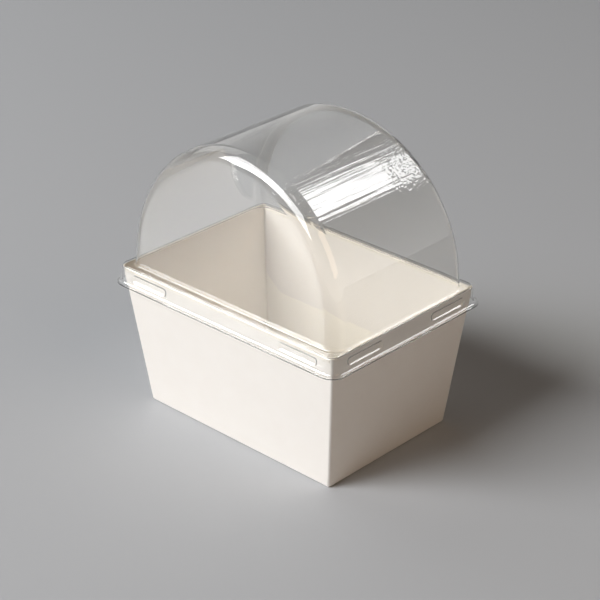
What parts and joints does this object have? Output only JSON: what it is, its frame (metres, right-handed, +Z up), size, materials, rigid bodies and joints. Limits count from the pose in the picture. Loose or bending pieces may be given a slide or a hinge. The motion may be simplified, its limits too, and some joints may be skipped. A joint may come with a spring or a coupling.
{
  "type": "paper dessert tub with clear lid",
  "caption": "Tapered rectangular paperboard dessert tub with folded-in rim flaps, under a clear thermoformed lid whose half-round arch stands on a clip-on skirt.",
  "frame": {"origin": "middle of the tub's underside, on the surface that it stands on", "axes": "+X along the tub's length, +Y across it, +Z up"},
  "size_m": [0.1378, 0.0998, 0.1412],
  "materials": {
    "white_board": "satin",
    "clear_sheet": "gloss"
  },
  "bodies": {
    "tub": {"paper_tub": "white_board"},
    "lid": {"clear_lid": "clear_sheet"}
  },
  "joints": [
    {"name": "lid_lift", "type": "slide", "parent": "tub", "child": "lid", "axis": [0, 0, 1], "range_m": [0, 0.025]}
  ]
}
